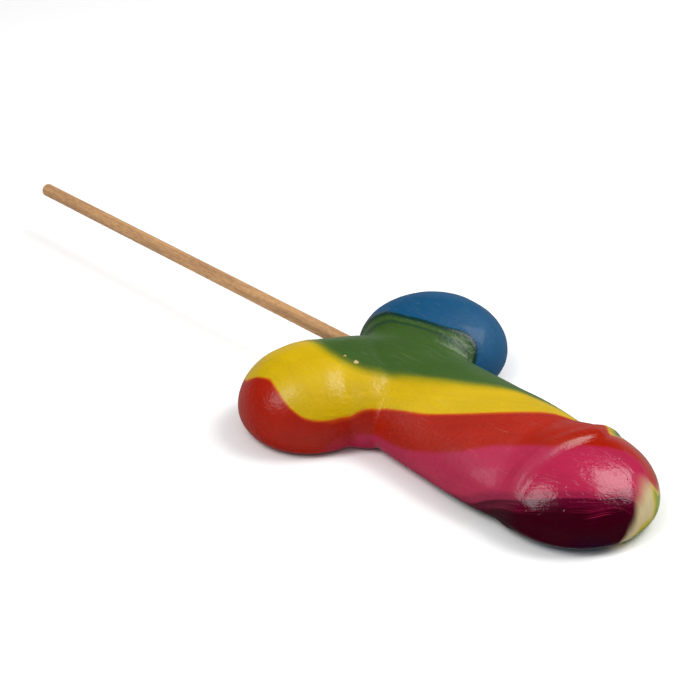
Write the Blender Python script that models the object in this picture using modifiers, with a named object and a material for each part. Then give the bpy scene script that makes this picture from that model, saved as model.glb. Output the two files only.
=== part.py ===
"""A novelty hard-candy lollipop on a wooden stick, lying down with its shown side up.

The candy is one piece of striped boiled sugar with a thick shaft, a rounded head behind a
raised rib, and two round lobes at the stick end. It lies on its flat underside on z = 0, with
the tip towards +X and the stick towards -X. The world origin is the middle of the whole
object's box, at the height of the underside.

The candy's shape is a formula. Each form of it (shaft, head, tip, root, web, two lobes) is a dome
over an ellipse, and its squared height at a point of the plan is T * T * (1 - r), where T is the
dome's height and r grows from 0 at its middle to 1 at its edge. The candy's squared height is
the smooth maximum of the forms, and its outline is the line where that reaches zero.

Run with: blender --background --python part.py
"""

import bpy
import numpy as np

MM = 0.001

# Stick: a round wooden dowel that lies along X, in the middle between the lobes
STICK_RADIUS = 2.0 * MM
STICK_LENGTH = 170.0 * MM
STICK_REAR_X = -156.5 * MM
STICK_Z = 12.8 * MM
STICK_SIDES = 24
STICK_END_ROUNDING = 0.6 * MM
STICK_ROUNDING_SEGMENTS = 2
STICK_SHARP_ANGLE = 50.0
STICK_CLEARANCE = 0.3 * MM
HOLE_START_X = -36.0 * MM

# Heights of the candy's widest level, above its flat underside
WIDEST_Z_AT_LOBES = 6.4 * MM
WIDEST_Z_AT_TIP = 4.2 * MM
WIDEST_TIP_X = 80.0 * MM

# Shaft: half width and dome height at the root, half way and at the neck
SHAFT_REAR_X = -18.0 * MM
SHAFT_FRONT_X = 70.0 * MM
SHAFT_HALF_WIDTHS = (18.5 * MM, 20.4 * MM, 21.6 * MM)
SHAFT_HEIGHTS = (12.3 * MM, 11.7 * MM, 11.5 * MM)
SHAFT_LEAN = -0.030
SHAFT_SIDE_POWER = 2.36
SHAFT_END_POWER = 4.6
SHAFT_SHARES = (-0.3, 1.2)

# Head: the rounded end beyond the rib
HEAD_X = 62.0 * MM
HEAD_SIDE_SHIFT = 1.2 * MM
HEAD_HEIGHT = 13.1 * MM
HEAD_HALF_WIDTH = 21.2 * MM
HEAD_FRONT_LENGTH = 22.9 * MM
HEAD_REAR_LENGTH = 16.5 * MM
HEAD_POWER = 2.2
HEAD_BLEND = 5.2 * MM

# Tip: the small blunt end of the head
TIP_X = 77.4 * MM
TIP_SIDE_SHIFT = -0.5 * MM
TIP_HEIGHT = 6.6 * MM
TIP_HALF_WIDTH = 7.1 * MM
TIP_HALF_LENGTH = 7.4 * MM
TIP_BLEND = 2.8 * MM

# Rib: a raised ring over the neck with a groove in front. It bulges forward beyond the crown
# and fades out down the near side.
RIB_X = 60.5 * MM
RIB_HEIGHT = 0.75 * MM
RIB_REACH = 2.3 * MM
RIB_POWER = 3.0
RIB_BULGE = 2.2 * MM
RIB_BULGE_SIDE = 7.0 * MM
RIB_BULGE_REACH = 9.0 * MM
RIB_NEAR_END = -17.0 * MM
RIB_NEAR_FADE = 1.3 * MM
GROOVE_AHEAD = 2.6 * MM
GROOVE_DEPTH = 0.12 * MM
GROOVE_REACH = 1.0 * MM

# Lobes near (-Y) and far (+Y), the root that joins them behind the shaft, and the web that fills
# the corner between the near lobe and the shaft: centre x and y, half length, half width,
# height, turn in radians, power of the edge
NEAR_LOBE = (-7.4 * MM, -19.4 * MM, 18.3 * MM, 20.0 * MM, 14.4 * MM, -0.18, 2.12)
FAR_LOBE = (-6.4 * MM, 23.6 * MM, 20.2 * MM, 19.8 * MM, 13.3 * MM, -0.11, 2.12)
ROOT = (-7.0 * MM, -7.0 * MM, 12.0 * MM, 18.0 * MM, 12.2 * MM, 0.0, 2.0)
NEAR_WEB = (-1.0 * MM, -10.2 * MM, 18.4 * MM, 9.8 * MM, 12.6 * MM, -0.33, 3.0)
ROOT_BLEND = 7.0 * MM
NEAR_BLEND = 8.5 * MM
CREASE_BLEND = 2.2 * MM
FAR_BLEND = 6.0 * MM

# Underside: flat, and rounded up to the outline where the domes stand lower than this
ROUNDED_EDGE = 9.0 * MM

# Mesh: rings of vertices along the candy, and the share of each ring that lies on the top
SEGMENTS = 66
TOP_SEGMENTS = 46
RINGS = 72
# Ring numbers, and for each the centre of the fan of rings, the fan's angle forward of the
# side direction, and where the ring crosses the spine. The fans turn round both ends, and
# lean forward in between to follow the fronts of the lobes.
FAN_REAR_X = -6.0 * MM
FAN_FRONT_X = 66.0 * MM
REAR_FAN_RING = 17
FRONT_FAN_RING = 60
REAR_SPACING = 0.5
KEY_RINGS = (0, REAR_FAN_RING, 26, 40, FRONT_FAN_RING, RINGS)
KEY_CENTRES = (FAN_REAR_X, FAN_REAR_X, FAN_REAR_X, 40.0 * MM, FAN_FRONT_X, FAN_FRONT_X)
KEY_ANGLES = (-90.0, 0.0, 48.0, 0.0, 0.0, 90.0)
KEY_SPINE = (FAN_REAR_X, FAN_REAR_X, 4.0 * MM, 40.0 * MM, FAN_FRONT_X, FAN_FRONT_X)
LONGEST_REACH = 60.0 * MM
HALVINGS = 40

CANDY_COLOUR = (0.62, 0.05, 0.10, 1.0)
CANDY_ROUGHNESS = 0.25
WOOD_COLOUR = (0.45, 0.24, 0.10, 1.0)
WOOD_ROUGHNESS = 0.6


def smooth_max(first, second, blend):
    """The larger of two squared heights, rounded off where they are closer than blend squared."""
    width = blend**2
    overlap = np.clip(width - np.abs(first - second), 0.0, None) / width
    return np.maximum(first, second) + overlap**2 * width / 4.0


def through_three(values, share):
    """The parabola through three values, at shares 0, 0.5 and 1 of the way."""
    start, middle, end = values
    bend = 2.0 * start - 4.0 * middle + 2.0 * end
    return start + share * (end - start - bend) + share**2 * bend


def rib_swelling(x, side):
    """How far the rib stands out of the shaft and head: a rounded ridge, then a groove."""
    bulge = RIB_BULGE * np.exp(-(((side - RIB_BULGE_SIDE) / RIB_BULGE_REACH) ** 2))
    along = x - RIB_X - bulge
    ridge = RIB_HEIGHT * np.exp(-(np.abs(along / RIB_REACH) ** RIB_POWER))
    groove = GROOVE_DEPTH * np.exp(-(((along - GROOVE_AHEAD) / GROOVE_REACH) ** 2))
    shown = 1.0 / (1.0 + np.exp((RIB_NEAR_END - side) / RIB_NEAR_FADE))
    return (ridge - groove) * shown


def shaft_form(x, side, swelling):
    """Squared height of the shaft, which is widest at the neck and rounded at both ends."""
    share = np.clip(x / HEAD_X, *SHAFT_SHARES)
    half_width = through_three(SHAFT_HALF_WIDTHS, share) + swelling
    height = through_three(SHAFT_HEIGHTS, share) + swelling
    middle = 0.5 * (SHAFT_REAR_X + SHAFT_FRONT_X)
    half_length = 0.5 * (SHAFT_FRONT_X - SHAFT_REAR_X)
    across = np.abs(side / half_width) ** SHAFT_SIDE_POWER
    along = np.abs((x - middle) / half_length) ** SHAFT_END_POWER
    return height**2 * (1.0 - across - along)


def head_form(x, side, swelling):
    """Squared height of the head, longer in front of its widest place than behind it."""
    length = np.where(x > HEAD_X, HEAD_FRONT_LENGTH, HEAD_REAR_LENGTH)
    along = np.abs((x - HEAD_X) / length) ** HEAD_POWER
    across = ((side - HEAD_SIDE_SHIFT) / (HEAD_HALF_WIDTH + swelling)) ** 2
    return (HEAD_HEIGHT + swelling) ** 2 * (1.0 - along - across)


def tip_form(x, side):
    """Squared height of the blunt tip."""
    along = ((x - TIP_X) / TIP_HALF_LENGTH) ** 2
    across = ((side - TIP_SIDE_SHIFT) / TIP_HALF_WIDTH) ** 2
    return TIP_HEIGHT**2 * (1.0 - along - across)


def dome_form(x, y, dome):
    """Squared height of one dome, over an ellipse that may be turned a little in the plan."""
    centre_x, centre_y, half_length, half_width, height, turn, power = dome
    ahead = x - centre_x
    outward = y - centre_y
    along = np.cos(turn) * ahead + np.sin(turn) * outward
    across = np.cos(turn) * outward - np.sin(turn) * ahead
    edge = np.abs(along / half_length) ** power + np.abs(across / half_width) ** power
    return height**2 * (1.0 - edge)


def squared_height(x, y):
    """The candy's squared height above its widest level, which is negative outside its outline."""
    side = y - SHAFT_LEAN * x
    swelling = rib_swelling(x, side)
    forms = smooth_max(shaft_form(x, side, swelling), head_form(x, side, swelling), HEAD_BLEND)
    forms = smooth_max(forms, tip_form(x, side), TIP_BLEND)
    near_side = smooth_max(dome_form(x, y, ROOT), dome_form(x, y, NEAR_WEB), ROOT_BLEND)
    near_side = smooth_max(near_side, dome_form(x, y, NEAR_LOBE), NEAR_BLEND)
    forms = smooth_max(forms, near_side, CREASE_BLEND)
    return smooth_max(forms, dome_form(x, y, FAR_LOBE), FAR_BLEND)


def outline_reach(centre_x, toward_x, toward_y):
    """How far the outline lies from a point of the spine in a given direction, by halving."""
    centre_y = SHAFT_LEAN * centre_x
    inside = np.zeros_like(centre_x)
    outside = np.full_like(centre_x, LONGEST_REACH)
    for _ in range(HALVINGS):
        middle = 0.5 * (inside + outside)
        within = squared_height(centre_x + middle * toward_x, centre_y + middle * toward_y) > 0.0
        inside = np.where(within, middle, inside)
        outside = np.where(within, outside, middle)
    return inside


def spine_crossing(ring):
    """Where each ring crosses the spine, along X, closest together at the two ends."""
    rear_reach = outline_reach(np.array([FAN_REAR_X]), -1.0, 0.0)
    front_reach = outline_reach(np.array([FAN_FRONT_X]), 1.0, 0.0)
    rear_share = np.clip(1.0 - (ring / REAR_FAN_RING) ** REAR_SPACING, 0.0, 1.0)
    front_turn = np.clip((ring - FRONT_FAN_RING) / (RINGS - FRONT_FAN_RING), 0.0, 1.0)
    front_share = np.sin(0.5 * np.pi * front_turn)
    return np.interp(ring, KEY_RINGS, KEY_SPINE) - rear_reach * rear_share + front_reach * front_share


def candy_points(ring, turn):
    """Points of the candy's surface from a ring number and a share of the turn round the ring.

    A ring joins a point of the spine to a point of the outline on each side. Its top follows
    the domes, and its underside is flat with a quarter round up to the outline.
    """
    top_share = TOP_SEGMENTS / SEGMENTS
    top_angle = np.pi * turn / top_share
    under_angle = np.pi + np.pi * (turn - top_share) / (1.0 - top_share)
    angle = np.where(turn <= top_share, top_angle, under_angle)
    outward = np.abs(np.cos(angle))

    centre_x = np.interp(ring, KEY_RINGS, KEY_CENTRES)
    fan = np.radians(np.interp(ring, KEY_RINGS, KEY_ANGLES))
    toward_x = np.sin(fan)
    toward_y = np.cos(fan) * np.sign(np.cos(angle))
    reach = outline_reach(centre_x, toward_x, toward_y)
    edge_x = centre_x + reach * toward_x
    edge_y = SHAFT_LEAN * centre_x + reach * toward_y
    spine_x = spine_crossing(ring)
    spine_y = SHAFT_LEAN * np.clip(spine_x, FAN_REAR_X, FAN_FRONT_X)
    x = spine_x + outward * (edge_x - spine_x)
    y = spine_y + outward * (edge_y - spine_y)

    squared = np.clip(squared_height(x, y), 0.0, None)
    widest = np.interp(x, (0.0, WIDEST_TIP_X), (WIDEST_Z_AT_LOBES, WIDEST_Z_AT_TIP))
    top = widest + np.sqrt(squared)
    rounding = np.clip(1.0 - squared / ROUNDED_EDGE**2, 0.0, 1.0)
    underside = widest * (1.0 - np.sqrt(1.0 - rounding**2))
    return np.stack([x, y, np.where(turn <= top_share, top, underside)], axis=1)


def clear_scene():
    """Removes whatever the file holds."""
    for old in list(bpy.data.objects):
        bpy.data.objects.remove(old, do_unlink=True)


def new_collection(name):
    """A collection linked to the scene."""
    collection = bpy.data.collections.new(name)
    bpy.context.scene.collection.children.link(collection)
    return collection


def move_to(collection, piece):
    """Moves a piece out of the collections it is in and into this one."""
    for old in list(piece.users_collection):
        old.objects.unlink(piece)
    collection.objects.link(piece)


def material(name, colour, roughness):
    """A Principled material of one colour."""
    made = bpy.data.materials.new(name)
    made.use_nodes = True
    shader = made.node_tree.nodes["Principled BSDF"]
    shader.inputs["Base Color"].default_value = colour
    shader.inputs["Roughness"].default_value = roughness
    shader.inputs["Metallic"].default_value = 0.0
    return made


def dowel(name, radius, rear_x, length, sides):
    """A cylinder along X from rear_x, on the stick's line."""
    middle = (rear_x + 0.5 * length, 0.0, STICK_Z)
    bpy.ops.mesh.primitive_cylinder_add(
        vertices=sides, radius=radius, depth=length, location=middle, rotation=(0.0, np.pi / 2.0, 0.0)
    )
    made = bpy.context.object
    made.name = name
    return made


def make_candy(collection, cutters):
    """The candy and its cutter: a sphere's vertices moved onto the formula, then bored."""
    bpy.ops.mesh.primitive_uv_sphere_add(segments=SEGMENTS, ring_count=RINGS, radius=1.0)
    candy = bpy.context.object
    candy.name = "candy"
    move_to(collection, candy)
    mesh = candy.data
    unit = np.empty(len(mesh.vertices) * 3)
    mesh.vertices.foreach_get("co", unit)
    unit = unit.reshape(-1, 3)
    ring = np.arccos(np.clip(-unit[:, 2], -1.0, 1.0)) / np.pi * RINGS
    segment = np.arctan2(unit[:, 1], unit[:, 0]) / (2.0 * np.pi) * SEGMENTS
    turn = np.round(segment) / SEGMENTS % 1.0
    mesh.vertices.foreach_set("co", candy_points(ring, turn).ravel())
    mesh.update()
    mesh.materials.append(material("candy", CANDY_COLOUR, CANDY_ROUGHNESS))
    mesh.shade_smooth()

    hole_radius = STICK_RADIUS + STICK_CLEARANCE
    hole_length = STICK_REAR_X + STICK_LENGTH + STICK_CLEARANCE - HOLE_START_X
    cutter = dowel("stick_hole", hole_radius, HOLE_START_X, hole_length, STICK_SIDES)
    move_to(cutters, cutter)
    cutter.hide_render = True
    cutter.display_type = "WIRE"
    bore = candy.modifiers.new("stick hole", "BOOLEAN")
    bore.operation = "DIFFERENCE"
    bore.object = cutter
    return candy, cutter


def make_stick(collection):
    """The stick, with both ends slightly rounded."""
    stick = dowel("stick", STICK_RADIUS, STICK_REAR_X, STICK_LENGTH, STICK_SIDES)
    move_to(collection, stick)
    stick.data.materials.append(material("wood", WOOD_COLOUR, WOOD_ROUGHNESS))
    stick.data.shade_smooth()
    stick.data.set_sharp_from_angle(angle=np.radians(STICK_SHARP_ANGLE))
    ends = stick.modifiers.new("rounded ends", "BEVEL")
    ends.width = STICK_END_ROUNDING
    ends.segments = STICK_ROUNDING_SEGMENTS
    ends.limit_method = "ANGLE"
    ends.angle_limit = np.radians(STICK_SHARP_ANGLE)
    return stick


def box_centre(pieces):
    """The middle of the pieces' box in the plan."""
    bpy.context.view_layer.update()
    depsgraph = bpy.context.evaluated_depsgraph_get()
    corners = []
    for piece in pieces:
        evaluated = piece.evaluated_get(depsgraph)
        corners += [piece.matrix_world @ vertex.co for vertex in evaluated.data.vertices]
    corners = np.array(corners)
    middle = 0.5 * (corners.min(axis=0) + corners.max(axis=0))
    return float(middle[0]), float(middle[1])


def main():
    """Builds the lollipop and sets its box's middle over the world origin."""
    clear_scene()
    collection = new_collection("novelty_lollipop")
    cutters = new_collection("cutters")
    candy, cutter = make_candy(collection, cutters)
    stick = make_stick(collection)
    middle_x, middle_y = box_centre((candy, stick))
    whole = bpy.data.objects.new("novelty_lollipop", None)
    collection.objects.link(whole)
    for piece in (candy, stick, cutter):
        piece.parent = whole
    whole.location = (-middle_x, -middle_y, 0.0)


main()
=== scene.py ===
"""The looks of a striped novelty hard-candy lollipop, lying on a pale floor in a soft studio light.

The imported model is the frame. A finer candy and a finer stick stand for its two nodes. Candy sizes
here are in millimetres on the candy's own plan: x runs along the stick towards the tip, from 0 at
the middle of the lobes, y runs across from the near side to the far side, from 0 on the stick's
line, and z is the height above the flat underside.
"""

from __future__ import annotations

import logging
import math
from dataclasses import dataclass, field
from enum import Enum

import bpy
import numpy as np
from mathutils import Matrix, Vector

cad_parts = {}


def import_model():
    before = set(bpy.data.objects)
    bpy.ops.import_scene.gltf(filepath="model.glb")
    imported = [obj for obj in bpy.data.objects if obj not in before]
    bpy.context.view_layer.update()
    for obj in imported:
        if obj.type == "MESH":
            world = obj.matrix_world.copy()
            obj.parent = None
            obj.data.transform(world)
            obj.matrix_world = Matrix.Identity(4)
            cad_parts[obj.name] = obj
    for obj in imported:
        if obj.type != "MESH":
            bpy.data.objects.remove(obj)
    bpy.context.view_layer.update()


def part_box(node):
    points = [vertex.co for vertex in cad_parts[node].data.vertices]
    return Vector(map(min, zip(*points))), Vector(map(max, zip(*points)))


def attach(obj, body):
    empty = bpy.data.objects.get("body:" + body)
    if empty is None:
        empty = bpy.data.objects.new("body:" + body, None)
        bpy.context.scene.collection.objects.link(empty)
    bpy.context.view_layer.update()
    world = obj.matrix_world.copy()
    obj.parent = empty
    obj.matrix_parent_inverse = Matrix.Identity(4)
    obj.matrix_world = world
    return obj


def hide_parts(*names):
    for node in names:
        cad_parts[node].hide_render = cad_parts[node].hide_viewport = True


MM = 0.001
LOG = logging.getLogger("lollipop")

Pair = tuple[float, float]
Triple = tuple[float, float, float]
Knots = tuple[Pair, ...]
Inputs = dict[str | int, object]


class Sugar(Enum):
    """The colours of the boiled sugar, as display levels from 0 to 255."""

    BLUE = (0, 75, 116)
    NAVY = (14, 12, 40)
    # Teal is partly the blue and green run together and partly painted shade for the grooves along the
    # blue's line.
    TEAL_AND_GROOVE_SHADE = (8, 50, 44)
    GREEN = (58, 88, 35)
    OLIVE = (128, 130, 10)
    YELLOW = (199, 165, 0)
    ORANGE = (198, 78, 0)
    RED = (160, 24, 0)
    PINK = (170, 34, 70)
    PLUM = (142, 26, 60)
    WINE = (86, 0, 34)
    PURPLE = (54, 0, 18)
    CREAM = (190, 174, 132)
    STRAW = (184, 162, 58)
    LIME = (132, 146, 36)

    @property
    def linear(self) -> Triple:
        """The colour in Blender's linear light."""
        return tuple(to_linear(level / 255.0) for level in self.value)


def to_linear(level: float) -> float:
    """Turns one display level into linear light.

    Args:
        level: A display level, from 0 to 1.

    Returns:
        The same level in linear light, by the standard display curve.
    """
    if level <= 0.04045:
        return level / 12.92
    return ((level + 0.055) / 1.055) ** 2.4


def flowing_curve(x: np.ndarray, knots: Knots) -> np.ndarray:
    """A smooth curve through a few points, level with its first and last point beyond them.

    Between two knots it is the cubic that meets both values and both slopes, and a knot's slope is
    the weighted mean of the slopes on its two sides.

    Args:
        x: Where the curve is read.
        knots: The points that it goes through, as pairs of place and value.

    Returns:
        The curve's value at each place.
    """
    places = np.array([place for place, _ in knots])
    values = np.array([value for _, value in knots])
    slopes = np.gradient(values, places)
    index = np.clip(np.searchsorted(places, x) - 1, 0, len(places) - 2)
    span = places[index + 1] - places[index]
    share = np.clip((x - places[index]) / span, 0.0, 1.0)
    rise = share**2 * (3.0 - 2.0 * share)
    lead = share * (1.0 - share) ** 2 * span * slopes[index]
    trail = share**2 * (share - 1.0) * span * slopes[index + 1]
    return values[index] * (1.0 - rise) + values[index + 1] * rise + lead + trail


def gentle_waves(points: np.ndarray, seed: int, length: float, count: int = 14) -> np.ndarray:
    """Smooth unevenness: the mean of many plane waves in random directions.

    Args:
        points: Places, three numbers each.
        seed: Seed of the directions and phases.
        length: The mean wavelength, in the points' unit.
        count: How many waves are added up.

    Returns:
        One height for each place, about -1 to 1.
    """
    draw = np.random.default_rng(seed)
    directions = draw.normal(size=(count, 3))
    directions /= np.linalg.norm(directions, axis=1, keepdims=True)
    lengths = length * draw.uniform(0.7, 1.5, size=count)
    phases = draw.uniform(0.0, 2.0 * np.pi, size=count)
    turns = points @ (directions.T * (2.0 * np.pi / lengths)) + phases
    return np.sin(turns).sum(axis=-1) / math.sqrt(count)


def grid_faces(rows: int, columns: int) -> list[tuple[int, ...]]:
    """Faces of a closed surface of rings, with one vertex at each pole.

    Args:
        rows: How many rings lie between the two poles.
        columns: How many vertices a ring has.

    Returns:
        Fans at both poles and quads between the rings, facing outwards where a ring turns
        right-handed about the way from the first pole to the last.
    """
    last = 1 + rows * columns
    here = np.arange(columns)
    ahead = (here + 1) % columns
    first_fan = np.stack([np.zeros(columns, int), 1 + ahead, 1 + here], axis=1)
    start = 1 + (rows - 1) * columns
    last_fan = np.stack([start + here, start + ahead, np.full(columns, last)], axis=1)
    ring = 1 + np.arange(rows - 1)[:, None] * columns
    quads = np.stack([ring + here, ring + ahead, ring + columns + ahead, ring + columns + here], axis=-1)
    faces = [tuple(face) for face in first_fan.tolist()]
    faces += [tuple(face) for face in quads.reshape(-1, 4).tolist()]
    faces += [tuple(face) for face in last_fan.tolist()]
    return faces


def unfold(grid: np.ndarray) -> np.ndarray:
    """Turns a grid of rings into a list of vertices, with each pole's ring as one vertex.

    Args:
        grid: Values as rings by segments, with or without a third axis.

    Returns:
        The values in the order of the mesh's vertices.
    """
    inner = grid[1:-1].reshape(-1, *grid.shape[2:])
    return np.concatenate([grid[0, :1], inner, grid[-1, :1]], axis=0)


def new_piece(name: str, points: np.ndarray, faces: list[tuple[int, ...]]) -> bpy.types.Object:
    """Makes an object at the origin from points in metres, shaded smooth.

    Args:
        name: The piece's name.
        points: Its vertices, three numbers each.
        faces: Vertex numbers of each face.

    Returns:
        The new object, linked to the scene.
    """
    mesh = bpy.data.meshes.new(name)
    mesh.from_pydata(points, [], faces)
    mesh.update()
    mesh.shade_smooth()
    piece = bpy.data.objects.new(name, mesh)
    bpy.context.scene.collection.objects.link(piece)
    return piece


def add_attribute(piece: bpy.types.Object, name: str, values: np.ndarray) -> None:
    """Stores a number or a vector at each vertex of a piece for its material to read.

    Args:
        piece: The piece.
        name: The attribute's name.
        values: One number or three for each vertex.
    """
    is_vector = values.ndim == 2
    kind = "FLOAT_VECTOR" if is_vector else "FLOAT"
    attribute = piece.data.attributes.new(name, kind, "POINT")
    attribute.data.foreach_set("vector" if is_vector else "value", values.astype(np.float32).ravel())


@dataclass(frozen=True)
class StripeEdge:
    """The line between two bands of sugar, and the sugar on its near side.

    Attributes:
        name: Name of the attribute that holds each vertex's distance past the line.
        knots: The line as pairs of x and distance round the body from the crown, near side below 0.
        layers: Sugars laid one over another past the line, each as a sugar, how far past the line
            it starts, how soft its start is and how far it wanders.
    """

    name: str
    knots: Knots
    layers: tuple[tuple[Sugar, float, float, float], ...]

    def distance(self, x: np.ndarray, round_body: np.ndarray) -> np.ndarray:
        """How far a place lies past the line towards the near side, square to the line.

        Args:
            x: Places along the candy.
            round_body: Their distances round the body.

        Returns:
            Signed distances, above 0 on the near side.
        """
        line = flowing_curve(x, self.knots)
        slope = flowing_curve(x + 0.5, self.knots) - flowing_curve(x - 0.5, self.knots)
        return (line - round_body) / np.sqrt(1.0 + slope**2)


STRIPES = (
    StripeEdge(
        "past_blue",
        (
            (-27.0, 22.0), (-20.4, 16.0), (-18.4, 15.0), (-11.3, 13.9), (-3.5, 15.2), (4.1, 18.8),
            (8.7, 23.7), (10.4, 25.3), (11.8, 25.8), (14.0, 26.5), (20.0, 32.0), (40.0, 33.0),
            (70.0, 33.0), (86.0, 24.0),
        ),
        (
            # The teal layers lie on the fold along the blue and on the groove beside it: partly the two
            # sugars run together, partly painted shade in those grooves.
            (Sugar.TEAL_AND_GROOVE_SHADE, -0.7, 0.3, 0.3), (Sugar.GREEN, 0.55, 0.45, 0.4),
            (Sugar.TEAL_AND_GROOVE_SHADE, 1.8, 0.5, 0.3), (Sugar.GREEN, 2.2, 0.5, 0.3),
        ),
    ),
    StripeEdge(
        "past_green",
        (
            (-27.0, -6.0), (-20.0, -12.0), (-11.7, -14.9), (-5.8, -16.1), (-1.8, -15.9),
            (2.1, -14.9), (5.3, -13.4), (10.4, -9.4), (19.2, -4.0), (28.7, 2.9), (36.3, 11.2),
            (46.0, 17.0), (57.0, 21.5), (61.0, 21.0), (65.0, 16.6), (68.0, 24.0), (74.0, 26.0),
            (84.0, 20.0),
        ),
        ((Sugar.OLIVE, -0.6, 2.2, 1.2), (Sugar.YELLOW, 0.9, 2.2, 1.2)),
    ),
    StripeEdge(
        "past_yellow",
        (
            (-25.0, -30.0), (-19.1, -37.1), (-13.6, -34.1), (-9.0, -33.0), (-5.0, -35.0),
            (0.9, -38.3), (4.4, -38.5), (6.6, -36.7), (8.1, -34.3), (9.4, -30.6), (11.3, -26.1),
            (13.3, -23.3), (14.8, -21.8), (19.5, -19.2), (28.2, -15.0), (36.9, -7.5), (45.7, 4.5),
            (49.8, 12.0), (58.0, 16.0), (62.0, 15.0), (65.0, 13.3), (66.8, 18.0), (69.5, 25.0),
            (76.0, 26.0), (84.0, 20.0),
        ),
        ((Sugar.ORANGE, -0.1, 0.5, 0.5), (Sugar.RED, 0.45, 0.6, 0.9)),
    ),
    StripeEdge(
        "past_red",
        (
            (-26.0, -50.0), (-10.0, -58.0), (2.0, -60.0), (7.0, -50.0), (9.6, -40.4),
            (11.3, -35.1), (13.5, -32.2), (16.1, -30.6), (20.0, -30.6), (28.8, -29.6),
            (33.0, -27.7), (42.4, -21.6), (50.3, -12.8), (57.5, -7.8), (61.5, -6.8), (63.3, -4.2),
            (65.7, -0.3), (68.2, 2.9), (70.2, 6.1), (72.3, 10.4), (74.5, 12.6), (80.2, 12.6),
            (84.0, 12.0),
        ),
        ((Sugar.PINK, 0.0, 1.1, 0.9),),
    ),
    StripeEdge(
        "past_pink",
        (
            (-26.0, -62.0), (0.0, -66.0), (12.0, -48.0), (30.0, -42.0), (42.0, -39.0),
            (50.7, -35.3), (55.9, -31.0), (63.6, -26.6), (71.8, -19.7), (75.7, -15.7),
            (79.1, -11.1), (81.4, -4.6), (84.0, -1.0),
        ),
        ((Sugar.PLUM, -2.3, 1.0, 1.0), (Sugar.WINE, -0.1, 0.35, 0.5), (Sugar.PURPLE, 2.4, 1.6, 1.5)),
    ),
    StripeEdge(
        "past_purple",
        (
            (-26.0, -68.0), (0.0, -73.0), (12.0, -54.0), (30.0, -48.0), (50.0, -41.0),
            (60.0, -41.0), (74.0, -37.0), (84.0, -22.0),
        ),
        ((Sugar.NAVY, 0.0, 2.4, 1.6),),
    ),
)


# The pale end of the tip, seen along the candy: the height below which it is cream at each place
# across, the place across beyond which it is straw at each height, and the height below which
# it is straw at each place across
CREAM_REAR_X = 75.5
CREAM_TOP = (
    (-9.0, -2.0), (-6.2, 3.6), (-5.1, 5.2), (-4.2, 5.9), (-2.9, 7.2), (-1.9, 8.5), (-0.8, 9.7),
    (1.5, 10.6), (4.3, 11.5), (6.4, 11.3), (7.7, 10.2), (8.5, 8.6), (9.5, 7.8), (12.0, 7.0),
)
STRAW_SIDE = (
    (3.0, 2.4), (5.1, 3.5), (5.9, 4.1), (6.5, 4.7), (8.0, 5.2), (9.2, 5.9), (9.8, 6.5), (12.0, 9.5),
)
STRAW_TOP = ((-7.0, -1.0), (-4.0, 2.2), (-1.0, 4.9), (0.0, 5.1), (4.0, 5.1))


@dataclass(frozen=True)
class Dome:
    """One rounded form of the candy, over an ellipse in the plan turned by an angle in radians.

    Attributes:
        centre_x: Its middle along the candy.
        centre_y: Its middle across it.
        half_length: Half the ellipse's length.
        half_width: Half its width.
        height: The dome's height over the candy's widest level.
        turn: The ellipse's angle.
        blend: How softly the dome joins the forms before it.
        power: The power of its edge, 2 for a plain ellipse and more for a fuller one.
    """

    centre_x: float
    centre_y: float
    half_length: float
    half_width: float
    height: float
    turn: float
    blend: float
    power: float = 2.0

    def squared_height(self, x: np.ndarray, y: np.ndarray) -> np.ndarray:
        """Squared height of the dome: its height squared times one less the share of the edge.

        Args:
            x: Places along the candy.
            y: Places across it.

        Returns:
            Squared heights, below 0 outside the ellipse.
        """
        ahead = x - self.centre_x
        outward = y - self.centre_y
        along = math.cos(self.turn) * ahead + math.sin(self.turn) * outward
        across = math.cos(self.turn) * outward - math.sin(self.turn) * ahead
        edge = np.abs(along / self.half_length) ** self.power
        edge += np.abs(across / self.half_width) ** self.power
        return self.height**2 * (1.0 - edge)


def smooth_max(first: np.ndarray, second: np.ndarray, blend: float) -> np.ndarray:
    """The larger of two squared heights, rounded off where they are close.

    Args:
        first: Squared heights of one form.
        second: Squared heights of the other.
        blend: The height whose square is how close they count as close.

    Returns:
        Squared heights of both forms joined.
    """
    width = blend**2
    overlap = np.clip(width - np.abs(first - second), 0.0, None) / width
    return np.maximum(first, second) + overlap**2 * width / 4.0


def through_three(values: Triple, share: np.ndarray) -> np.ndarray:
    """The parabola through three values, at shares 0, 0.5 and 1 of the way.

    Args:
        values: The three values.
        share: Where it is read.

    Returns:
        The parabola's values.
    """
    start, middle, end = values
    bend = 2.0 * start - 4.0 * middle + 2.0 * end
    return start + share * (end - start - bend) + share**2 * bend


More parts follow.
